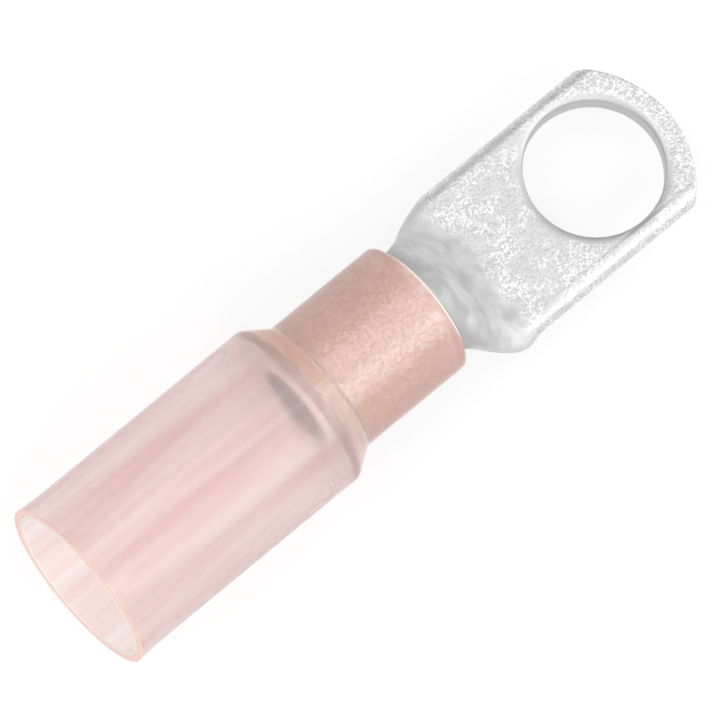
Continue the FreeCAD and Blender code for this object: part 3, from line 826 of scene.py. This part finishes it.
@dataclass
class RingLug:
    """The tinned tube lug: round barrel, pressed stretch and tongue with its stud hole.

    Its forms follow the source's own laws. The crease is blended softly, and the press's
    marks, dents and waves are sculpted in the metal's top.
    """

    thickness: float = 1.6
    wall: float = 0.9
    hole: float = 4.2
    roll_over: float = 0.38
    roll_reach: float = 0.75
    least_roll: float = 0.3
    roll_side: Point = (0.3, 0.4)
    under_edge: float = 0.12
    tip_edge: float = 0.13
    tip_setback: float = 1.45
    tip_corner: float = 0.9
    corner_overrun: float = 0.15
    tip_dome: float = 0.05
    tip_dome_start: float = 2.0
    tip_dome_length: float = 3.4
    pressed_length: float = 4.1
    root_land: float = 5.4
    side_fold_length: float = 3.4
    round_side_low: float = 65.0
    round_side_high: float = 5.0
    early_widening: float = 0.35
    crease_slope: float = 0.62
    crease_blend: float = 0.30
    blend_start: float = 0.55
    blend_rise: float = 0.35
    blend_fall: float = 0.3
    blend_reach: float = 1.3
    crown_end: float = 1.6
    underside_flatness: float = 0.08
    rim: float = 0.2
    lean: float = -0.28
    lean_rise: float = 1.8
    lean_fall: float = 1.6
    lean_setback: float = 0.6
    dent: float = 0.055
    dent_pitch: float = 0.8
    dent_seed: Point3 = (3.1, 7.7, 0.4)
    dent_inset: float = 0.2
    dent_fade: float = 1.6
    fine_dent_share: float = 0.45
    fine_dent_pitch: float = 2.1
    ripple: float = 0.012
    ripple_pitch: float = 1.3
    ripple_seed: Point3 = (9.2, 1.5, 2.6)
    mark_fade: float = 0.6
    bore_reach: int = 8
    throat_length: float = 2.7
    throat_steps: int = 9
    barrel_steps: int = 24
    loop_gap: float = 0.07
    top_steps: int = 56
    side_steps: int = 24
    edge_steps: int = 4
    ray_steps: int = 34
    ray_easing: float = 0.85
    long_side_steps: int = 70
    long_side_easing: float = 0.8
    corner_steps: int = 16
    tip_steps: int = 40
    finish: TinPlate = field(default_factory=TinPlate)

    def measure(self) -> None:
        """Read the lug's place from the frame."""
        low, high = (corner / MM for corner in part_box("ring_lug"))
        self.rear, self.tip = low.x, high.x
        self.half_tongue, self.barrel = high.y, high.z / 2
        self.root = -self.hole - self.root_land
        self.front = self.root - self.pressed_length
        self.joint = self.root + self.blend_reach
        self.flat = self.half_tongue - self.thickness / 2
        self.tip_radius = self.tip + self.tip_setback
        self.corner_y = self.half_tongue + self.corner_overrun - self.tip_corner
        reach = (self.tip_radius - self.tip_corner) ** 2 - self.corner_y ** 2
        self.corner_x = sqrt(reach) - self.tip_setback

    def top_ends(self) -> tuple[int, int]:
        """Give the numbers of the points of a loop where its top starts and ends."""
        return self.side_steps // 2, self.side_steps * 3 // 2 + self.top_steps

    def relief(self, x: float, y: float) -> float:
        """Give how far marks, dents and waves lift the metal's top.

        Args:
            x: The place along the barrel.
            y: The place across it.

        Returns:
            The lift, below zero in a furrow.
        """
        pressed = smooth(x - self.front - self.dent_inset)
        pressed *= 1 - smooth((x - self.root - self.dent_inset) / self.dent_fade)
        place = Vector((x, y, 0.0))
        dents = noise.noise(place * self.dent_pitch + Vector(self.dent_seed)) * self.dent
        dents += noise.noise(place * self.fine_dent_pitch) * self.dent * self.fine_dent_share
        marks = sum(mark.at((x, y)) for mark in PRESS_MARKS)
        waves = noise.noise(place * self.ripple_pitch + Vector(self.ripple_seed)) * self.ripple
        near = smooth((x - self.front) / self.mark_fade)
        return pressed * dents + near * (marks + waves)

    def sinking(self, share: float) -> float:
        """Give the height of the crown.

        Args:
            share: The share of the press, above 1 past its end.

        Returns:
            The height above the tongue's underside.
        """
        drop = 2 * self.barrel - self.thickness
        slope = self.crease_slope
        if share < 1:
            sunk = (3 - slope) * share ** 2 + (slope - 2) * share ** 3
        else:
            sunk = 1 + slope * (share - 1)
        above = drop * (1 - sunk)
        blend = self.crease_blend * smooth((share - self.blend_start) / self.blend_rise)
        blend *= 1 - smooth((share - 1) / self.blend_fall)
        return self.thickness + (above + sqrt(above * above + blend * blend)) / 2

    def section(self, x: float, inset: float = 0.0) -> list[Point]:
        """Give the loop of the outer skin, or of the bore, at a place along the axis.

        Args:
            x: The place.
            inset: How far the loop lies inside the outer skin.

        Returns:
            The loop's points in the plane across the axis, each with its y and its height.
        """
        share = (x - self.front) / self.pressed_length
        if share <= 0:
            centres = [(0.0, self.barrel)] * 4
            radii = [self.barrel - inset] * 4
            low, high = self.round_side_low, self.round_side_high
            turns = (-low, high, 180 - high, 180 + low)
        else:
            inside = min(share, 1.0)
            widening = ((1 - self.early_widening) * smooth(inside)
                        + self.early_widening * (1 - (1 - inside) ** 2))
            half = self.barrel + (self.half_tongue - self.barrel) * widening
            height = self.sinking(share)
            drop = 2 * self.barrel - self.thickness
            fold = smooth(inside * self.pressed_length / self.side_fold_length)
            middle = self.barrel - drop / 2 * fold
            side = middle * (1 - self.underside_flatness * 4 * inside * (1 - inside))
            offset, above = half - side, height - middle
            dome = (offset ** 2 + above ** 2 - side ** 2) / (2 * max(above - side, 1e-5))
            sole = (offset ** 2 + middle ** 2 - side ** 2) / (2 * max(middle - side, 1e-5))
            top = degrees(atan2(middle - (height - dome), offset))
            low = degrees(atan2(middle - sole, offset))
            centres = [(offset, middle), (0.0, height - dome), (-offset, middle), (0.0, sole)]
            radii = [side - inset, dome - inset, side - inset, sole - inset]
            turns = (low, top, 180 - top, 180 - low)
        steps = (self.side_steps, self.top_steps, self.side_steps, self.top_steps)
        ends = (*turns[1:], turns[0] + 360)
        loop = []
        for centre, radius, start, end, count in zip(centres, radii, turns, ends, steps):
            for n in range(count):
                turn = radians(start + (end - start) * n / count)
                loop.append((centre[0] + radius * cos(turn), centre[1] + radius * sin(turn)))
        return loop

    def outer_loop(self, x: float) -> list[Point3]:
        """Give a loop of the outer skin with the relief laid on its top.

        Args:
            x: The place along the barrel.

        Returns:
            The loop's points.
        """
        first, last = self.top_ends()
        leaning = smooth((x - self.front) / self.lean_rise)
        leaning *= 1 - smooth((x - self.root + self.lean_setback) / self.lean_fall)
        points = []
        for n, (y, z) in enumerate(self.section(x)):
            lift = 0.0
            if first < n < last and x > self.front:
                from_side = min(n - first, last - n) / (self.side_steps / 2)
                lift = self.relief(x, y) * sin(min(from_side, 1.0) * pi / 2)
            points.append((x, y + self.lean * leaning, z + lift))
        return points

    def top_at(self, x: float, y: float, end: Point) -> float:
        """Give the height of the tongue's top, on a ray from the hole to its end.

        Args:
            x: The place along the barrel.
            y: The place across it.
            end: Where the ray ends.

        Returns:
            The height above the underside.
        """
        rounded = round_drop(self.half_tongue - abs(y), self.thickness / 2)
        radius = hypot(x, y)
        turned = smooth(0.5 + (self.roll_side[0] * x + self.roll_side[1] * y) / radius)
        depth = self.roll_over * (self.least_roll + (1 - self.least_roll) * turned)
        rolled = round_drop((radius - self.hole) * depth / self.roll_reach, depth)
        share = (x - self.front) / self.pressed_length
        crown = self.sinking(share) if share < self.crown_end else self.thickness
        flatness = 1 - rounded / (self.thickness / 2)
        domed = self.tip_dome * smooth((x - self.tip_dome_start) / self.tip_dome_length)
        sunk = rounded + rolled + self.cut_edge(x, y, end) + domed * flatness
        return crown - sunk + self.relief(x, y) * flatness

    def under_at(self, x: float, y: float, end: Point) -> float:
        """Give the height of the tongue's underside.

        Args:
            x: The place along the barrel.
            y: The place across it.
            end: Where the ray from the hole ends.

        Returns:
            The height above the flat.
        """
        rounded = round_drop(self.half_tongue - abs(y), self.thickness / 2)
        rolled = round_drop(hypot(x, y) - self.hole, self.under_edge)
        return rounded + rolled + self.cut_edge(x, y, end)

    def cut_edge(self, x: float, y: float, end: Point) -> float:
        """Give how far the tip's cut edge is rounded.

        Args:
            x: The place along the barrel.
            y: The place across it.
            end: Where the ray from the hole ends.

        Returns:
            The drop under the flat beside the edge.
        """
        if end[0] < 0 or abs(end[1]) > self.half_tongue - TINY:
            return 0.0
        flat = self.thickness / 2 - round_drop(self.half_tongue - abs(end[1]), self.thickness / 2)
        return round_drop(hypot(end[0] - x, end[1] - y), min(self.tip_edge, flat * 0.5))

    def outline(self) -> list[Point]:
        """Give the ends of the rays from the hole, all round, from the -Y end of the joint.

        Returns:
            The ends, in order.
        """
        first, last = self.top_ends()
        joint = [(self.joint, y) for y, _ in self.section(self.joint)[first:last + 1]]
        corner_turn = atan2(self.corner_y, self.corner_x + self.tip_setback)
        meet = self.corner_x + sqrt(self.tip_corner ** 2 - (self.half_tongue - self.corner_y) ** 2)
        count = self.long_side_steps
        sides = [
            self.joint + (meet - self.joint) * (n / count) ** self.long_side_easing
            for n in range(1, count + 1)
        ]
        count = self.corner_steps
        turns = [corner_turn + (pi / 2 - corner_turn) * n / count for n in range(count + 1)]
        radius = self.tip_corner
        corner = [
            (self.corner_x + cos(turn) * radius, self.corner_y + sin(turn) * radius)
            for turn in turns
        ]
        corner = [point for point in corner if point[1] < self.half_tongue - CORNER_GAP]
        count = self.tip_steps
        arc = [
            (self.tip_radius * cos(turn) - self.tip_setback, self.tip_radius * sin(turn))
            for turn in (corner_turn * n / count for n in range(1 - count, count))
        ]
        right = [*((x, self.half_tongue) for x in sides), *reversed(corner)]
        mirrored = [(x, -y) for x, y in right]
        return [*joint, *mirrored, *arc, *right[::-1]]

    def tongue_faces(self, builder: "Skin") -> None:
        """Add the tongue beyond the joint as rays between the hole and the outline.

        Args:
            builder: The mesh that the faces go into.
        """
        ends = self.outline()
        joint = self.outer_loop(self.joint)
        first, _ = self.top_ends()
        eased, even = self.ray_easing, 1 - self.ray_easing
        shares = [
            eased * (1 - cos(pi * n / self.ray_steps)) / 2 + even * n / self.ray_steps
            for n in range(self.ray_steps + 1)
        ]
        rows = []
        for end in ends:
            length = hypot(*end)
            start = (end[0] / length * self.hole, end[1] / length * self.hole)
            along = [
                (start[0] + (end[0] - start[0]) * share, start[1] + (end[1] - start[1]) * share)
                for share in shares
            ]
            top = [(x, y, self.top_at(x, y, end)) for x, y in along]
            under = [(x, y, self.under_at(x, y, end)) for x, y in reversed(along)]
            if end[0] < self.joint + TINY:
                top[-1] = joint[first + len(rows)]
                under[0] = joint[(first - len(rows)) % len(joint)]
            rows.append((top, under))
        for (top, under), (next_top, next_under) in zip(rows, rows[1:] + rows[:1]):
            builder.strip(top, next_top)
            builder.strip(under, next_under)
            wall, next_wall = [under[-1], top[0]], [next_under[-1], next_top[0]]
            builder.strip(wall, next_wall, self.edge_steps)
            if min(top[-1][0], next_top[-1][0]) > self.joint + TINY:
                side, next_side = [top[-1], under[0]], [next_top[-1], next_under[0]]
                builder.strip(side, next_side, self.edge_steps)

    def build_mesh(self) -> bpy.types.Mesh:
        """Build the lug's closed mesh.

        Returns:
            The mesh.
        """
        builder = Skin()
        start, count = self.rear + self.rim, self.barrel_steps
        places = [start + (self.front - start) * n / count for n in range(count + 1)]
        count = round((self.joint - self.front) / self.loop_gap)
        places += [self.front + (self.joint - self.front) * n / count for n in range(1, count + 1)]
        loops = [self.outer_loop(x) for x in places]
        rear_rim = [(self.rear, y, z) for y, z in self.section(self.rear, self.rim)]
        inner_rim = [(self.rear, y, z) for y, z in self.section(self.rear, self.wall - self.rim)]
        bore_places = [start, *(self.front - n for n in range(self.bore_reach, -1, -1))]
        count = self.throat_steps
        bore_places += [self.front + self.throat_length * n / count for n in range(1, count + 1)]
        bores = [[(x, y, z) for y, z in self.section(x, self.wall)] for x in bore_places]
        rings = [*reversed(bores), inner_rim, rear_rim, *loops]
        for first, second in zip(rings, rings[1:]):
            builder.strip([*first, first[0]], [*second, second[0]])
        builder.cap(bores[-1], *self.top_ends())
        self.tongue_faces(builder)
        return builder.mesh("tin_lug")

    def build(self) -> list[bpy.types.Object]:
        """Build the lug and dress it.

        Returns:
            The pieces of the lug.
        """
        self.measure()
        lug = new_piece("tin_lug", self.build_mesh())
        dress(lug, self.finish.material())
        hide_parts("ring_lug")
        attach(lug, "root")
        return [lug]


def arc_through(start: Point, end: Point, bend: float, steps: int) -> list[Point]:
    """Give points along an arc, without its first one.

    Args:
        start: Where the arc starts.
        end: Where it ends.
        bend: Its radius, positive where it bends to its left.
        steps: How many points to give.

    Returns:
        The points up to and with the end.
    """
    chord = (end[0] - start[0], end[1] - start[1])
    length = hypot(*chord)
    reach = sqrt(max(bend * bend - length * length / 4, 0.0)) * (1 if bend > 0 else -1)
    centre = (
        start[0] + chord[0] / 2 - chord[1] / length * reach,
        start[1] + chord[1] / 2 + chord[0] / length * reach,
    )
    first = atan2(start[1] - centre[1], start[0] - centre[0])
    turn = atan2(end[1] - centre[1], end[0] - centre[0]) - first
    turn = (turn + pi) % (2 * pi) - pi
    radius = abs(bend)
    angles = [first + turn * n / steps for n in range(1, steps + 1)]
    return [(centre[0] + radius * cos(a), centre[1] + radius * sin(a)) for a in angles]


def straight(start: Point, end: Point, steps: int) -> list[Point]:
    """Give points along a straight stretch, without its first one."""
    shares = [n / steps for n in range(1, steps + 1)]
    return [tuple(a + (b - a) * share for a, b in zip(start, end)) for share in shares]


def turned_mesh(name: str, outline: Sequence[Point], height: float, sway: Sway) -> bpy.types.Mesh:
    """Turn a closed outline about the barrel's axis.

    Args:
        name: The mesh's name.
        outline: Places along the axis with their radii, in order round the section.
        height: The axis's height, in millimetres.
        sway: Gives a point's new radius from its place along the axis, radius and turn.

    Returns:
        The closed mesh, in metres.
    """
    rows = []
    for x, radius in outline:
        row = []
        for n in range(TURNS):
            turn = 2 * pi * n / TURNS
            out = sway(x, radius, turn)
            row.append((x * MM, out * cos(turn) * MM, (height + out * sin(turn)) * MM))
        rows.append(row)
    count = len(rows)
    faces = [
        (i * TURNS + n, i * TURNS + (n + 1) % TURNS,
         (i + 1) % count * TURNS + (n + 1) % TURNS, (i + 1) % count * TURNS + n)
        for i in range(count) for n in range(TURNS)
    ]
    mesh = bpy.data.meshes.new(name)
    mesh.from_pydata([point for row in rows for point in row], [], faces)
    return finished(mesh)


def new_piece(name: str, mesh: bpy.types.Mesh) -> bpy.types.Object:
    """Put a mesh in the scene as a piece of the object.

    Args:
        name: The piece's name.
        mesh: Its mesh.

    Returns:
        The piece.
    """
    piece = bpy.data.objects.new(name, mesh)
    bpy.context.scene.collection.objects.link(piece)
    return piece


class Layer(Enum):
    """The three skins of the sleeve, by how far on the barrel their steps end."""

    BORE = 1.45
    BOND = 1.62
    OUTSIDE = 1.95


@dataclass
class ShrinkSleeve:
    """The sleeve: a jacket and its hot melt liner, wide at the mouth and shrunk in front."""

    jacket_wall: float = 0.43
    shrunk_jacket_wall: float = 0.60
    liner_wall: float = 0.23
    shrunk_liner_wall: float = 0.33
    flare: float = 0.07
    flare_length: float = 1.5
    step_length: float = 1.6
    step_bend: float = 0.65
    nose: float = 0.4
    bead: float = 0.25
    air: float = 0.02
    wave: float = 0.04
    wave_pitch: Point = (0.05, 1.6)
    wave_setback: float = 1.6
    wave_fade: float = 1.2
    calm_length: float = 4.0
    shrunk_wave: float = 0.022
    shrunk_wave_pitch: Point = (0.35, 2.4)
    flare_steps: int = 5
    wide_steps: int = 60
    bend_steps: int = 8
    slope_steps: int = 6
    front_steps: int = 40
    jacket: ShrinkTube = field(default_factory=ShrinkTube)
    melt: HotMelt = field(default_factory=HotMelt)

    def measure(self) -> None:
        """Read the sleeve's place from the frame."""
        low, high = (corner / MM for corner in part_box("heat_shrink_sleeve"))
        self.mouth, self.front = low.x, high.x
        self.height = (low.z + high.z) / 2
        self.outer = (high.z - low.z) / 2 - self.flare
        lug_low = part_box("ring_lug")[0] / MM
        self.barrel = self.height - lug_low.z
        self.barrel_rear = lug_low.x
        self.bond = self.outer - self.jacket_wall
        self.inner = self.bond - self.liner_wall
        self.shrunk_bond = self.barrel + self.shrunk_liner_wall
        self.shrunk_outer = self.shrunk_bond + self.shrunk_jacket_wall

    def shell(self, layer: Layer, front: float, air: float = 0.0) -> list[Point]:
        """Give a skin of the sleeve from the mouth to the front.

        Args:
            layer: Which skin.
            front: Where it ends.
            air: How far it lies inside its own place.

        Returns:
            The points along it.
        """
        wide, narrow = {
            Layer.BORE: (self.inner, self.barrel + self.air),
            Layer.BOND: (self.bond - air, self.shrunk_bond - air),
            Layer.OUTSIDE: (self.outer, self.shrunk_outer),
        }[layer]
        end = self.barrel_rear + layer.value
        drop = wide - narrow
        slope = atan2(drop, self.step_length)
        cut = self.step_bend * tan(slope / 2)
        shift = (cut * cos(slope), cut * sin(slope))
        start = end - self.step_length
        flare_end = self.mouth + self.flare_length
        points = [(self.mouth, wide + self.flare)]
        points += straight(points[-1], (flare_end, wide), self.flare_steps)
        points += straight(points[-1], (start - cut, wide), self.wide_steps)
        bent = (start + shift[0], wide - shift[1])
        points += arc_through(points[-1], bent, -self.step_bend, self.bend_steps)
        points += straight(points[-1], (end - shift[0], narrow + shift[1]), self.slope_steps)
        points += arc_through(points[-1], (end + cut, narrow), self.step_bend, self.bend_steps)
        points += straight(points[-1], (front, narrow), self.front_steps)
        return points

    def build_jacket(self) -> bpy.types.Object:
        """Build the outer jacket.

        Returns:
            The jacket.
        """
        outer = self.shell(Layer.OUTSIDE, self.front - self.nose)
        edge = (self.front, self.shrunk_outer - self.nose)
        nose = arc_through(outer[-1], edge, -self.nose, self.bend_steps)
        inner = self.shell(Layer.BOND, self.front)
        outline = outer + nose + inner[::-1]
        piece = new_piece("jacket", turned_mesh("jacket", outline, self.height, self.sway))
        dress(piece, self.jacket.material())
        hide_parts("heat_shrink_sleeve")
        return piece

    def build_liner(self) -> bpy.types.Object:
        """Build the hot melt liner with its bead.

        Returns:
            The liner.
        """
        tip = self.front + self.bead
        outer = self.shell(Layer.BOND, self.front, self.air)
        edge = (tip, outer[-1][1] - self.bead)
        bead = arc_through(outer[-1], edge, -self.bead, self.bend_steps)
        inner = self.shell(Layer.BORE, tip)
        outline = outer + bead + inner[::-1]
        piece = new_piece("liner", turned_mesh("liner", outline, self.height, self.sway))
        dress(piece, self.melt.material())
        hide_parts("adhesive_liner")
        return piece

    def wavy(self, along: float, turn: float, pitch: Point) -> float:
        """Give the share of a soft wave at a place and a turn of a skin."""
        return noise.noise(Vector((along * pitch[0], cos(turn) * pitch[1], sin(turn) * pitch[1])))

    def sway(self, along: float, radius: float, turn: float) -> float:
        """Move a point by the soft waves that a drawn and shrunk tube has.

        Args:
            along: The point's place along the axis.
            radius: Its distance from the axis.
            turn: Its turn about the axis.

        Returns:
            The moved point's radius.
        """
        wide = 1 - smooth((along - self.barrel_rear + self.wave_setback) / self.wave_fade)
        calm = smooth((along - self.mouth) / self.calm_length)
        moved = radius + self.wavy(along, turn, self.wave_pitch) * self.wave * wide * calm
        if radius > self.shrunk_bond + self.shrunk_jacket_wall / 2:
            shrunk = smooth(self.front - along) * (1 - wide)
            moved += self.wavy(along, turn, self.shrunk_wave_pitch) * self.shrunk_wave * shrunk
        return moved

    def build(self) -> list[bpy.types.Object]:
        """Build both layers of the sleeve.

        Returns:
            The jacket and the liner.
        """
        self.measure()
        pieces = [self.build_jacket(), self.build_liner()]
        for piece in pieces:
            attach(piece, "root")
        return pieces


@dataclass(frozen=True)
class SoftBox:
    """A flat soft lamp that faces the object, with its place from the object's middle."""

    name: str
    place: Point3
    side: Point
    power: float

    def hang(self) -> None:
        """Hang the lamp in the scene."""
        lamp = bpy.data.lights.new(self.name, "AREA")
        lamp.shape = "RECTANGLE"
        lamp.size, lamp.size_y = (length * MM for length in self.side)
        lamp.energy = self.power
        holder = bpy.data.objects.new(self.name, lamp)
        holder.location = Vector(self.place) * MM
        holder.rotation_mode = "QUATERNION"
        holder.rotation_quaternion = (-Vector(self.place)).to_track_quat("-Z", "Y")
        bpy.context.scene.collection.objects.link(holder)


@dataclass(frozen=True)
class Studio:
    """A plain pale floor and soft light from all sides.

    The tent gives the world's tone at turns about the barrel, in degrees from straight up.
    """

    floor_side: float = 600.0
    floor_drop: float = 0.05
    floor_tone: Colour = (0.93, 0.93, 0.93)
    white_share: float = 0.75
    tent: tuple[tuple[float, float], ...] = (
        (-88.0, 0.62), (-74.0, 0.64), (-66.0, 1.50), (-50.0, 2.00), (-30.0, 1.55),
        (-24.0, 0.82), (-14.0, 0.82), (-9.0, 1.38), (15.0, 1.34), (22.0, 0.36),
        (46.0, 0.38), (64.0, 0.58), (85.0, 0.76),
    )
    tent_strength: float = 2.0
    lamps: tuple[SoftBox, ...] = (
        SoftBox("key", (-120, 160, 260), (240, 160), 0.20),
        SoftBox("fill", (160, -200, 200), (180, 180), 0.09),
    )

    def lay_floor(self, lowest: float) -> None:
        """Lay the floor under the object.

        Args:
            lowest: The object's lowest point, in metres.
        """
        half = self.floor_side * MM / 2
        mesh = bpy.data.meshes.new("floor")
        corners = [(-half, -half, 0), (half, -half, 0), (half, half, 0), (-half, half, 0)]
        mesh.from_pydata(corners, [], [(0, 1, 2, 3)])
        floor = bpy.data.objects.new("floor", mesh)
        floor.location.z = lowest - self.floor_drop * MM
        bpy.context.scene.collection.objects.link(floor)
        floor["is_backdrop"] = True
        material, graph = new_material("pale_floor")
        path = graph.add("LightPath")
        seen = graph.most(path.outputs["Is Camera Ray"], path.outputs["Is Glossy Ray"])
        seen = graph.most(seen, path.outputs["Is Transmission Ray"])
        share = graph.times(seen, self.white_share)
        matt = graph.add("BsdfDiffuse", {"Color": self.floor_tone})
        white = graph.add("Emission", {"Color": 1.0, "Strength": 1.0})
        mixed = graph.add("MixShader", {0: share, 1: matt.outputs[0], 2: white.outputs[0]})
        graph.add("OutputMaterial", {"Surface": mixed.outputs[0]})
        dress(floor, material)

    def light_world(self) -> None:
        """Light the world by soft boxes that run along the barrel, with a dark wall at +Y."""
        world = bpy.data.worlds.new("studio")
        bpy.context.scene.world = world
        world.use_nodes = True
        graph = Graph(world.node_tree)
        direction = graph.add("TexCoord").outputs["Generated"]
        parts = graph.add("SeparateXYZ", {"Vector": direction}).outputs
        turn = graph.maths("ARCTAN2", parts["Y"], parts["Z"])
        across = graph.maths("ADD", graph.maths("DIVIDE", turn, 2 * pi), 0.5)
        stops = [(degree / 360 + 0.5, tone / self.tent_strength) for degree, tone in self.tent]
        tone = graph.ramp(across, stops)
        path = graph.add("LightPath").outputs["Is Camera Ray"]
        seen = graph.blend(path, tone, 1 / self.tent_strength)
        shade = graph.add("Background", {"Color": seen, "Strength": self.tent_strength})
        graph.add("OutputWorld", {"Surface": shade.outputs[0]})

    def build(self, lowest: float) -> None:
        """Build the floor, the world and the lamps.

        Args:
            lowest: The object's lowest point, in metres.
        """
        self.lay_floor(lowest)
        self.light_world()
        for lamp in self.lamps:
            lamp.hang()


@dataclass(frozen=True)
class PhotoCamera:
    """The photograph's long lens, as fitted to the hole, the mouth and the side lines."""

    right: Point3 = (0.74822, -0.65956, 0.07179)
    up: Point3 = (0.61658, 0.73122, 0.29181)
    back: Point3 = (-0.24496, -0.17408, 0.95378)
    pixels_per_mm: float = 17.10
    closeness: float = 0.0006
    slide: Point = (13.587, 10.737)
    sensor: float = 36.0
    clip: Point = (0.1, 10.0)

    def build(self) -> None:
        """Make the camera and put it in the scene."""
        data = bpy.data.cameras.new("photo_camera")
        data.sensor_width = self.sensor
        data.lens = self.pixels_per_mm / self.closeness * self.sensor / PHOTO_WIDTH
        turn = Matrix((self.right, self.up, self.back)).transposed()
        reach = Vector((-self.slide[0], -self.slide[1], 1 / self.closeness))
        camera = bpy.data.objects.new("photo_camera", data)
        camera.matrix_world = Matrix.Translation(turn @ reach * MM) @ turn.to_4x4()
        data.clip_start, data.clip_end = self.clip
        bpy.context.scene.collection.objects.link(camera)
        bpy.context.scene.camera = camera


def main() -> None:
    """Build the pieces around the frame, light them and set the camera."""
    logging.basicConfig(level=logging.INFO, format="%(name)s: %(message)s")
    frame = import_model()
    LOG.info("frame: %s", ", ".join(sorted(frame["nodes"])))
    cad_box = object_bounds()
    for part in (RingLug(), ShrinkSleeve()):
        for piece in part.build():
            LOG.info("%s: %d faces", piece.name, len(piece.data.polygons))
    bpy.context.scene.view_settings.view_transform = "Standard"
    Studio().build(cad_box[0].z)
    PhotoCamera().build()


if __name__ == "__main__":
    main()
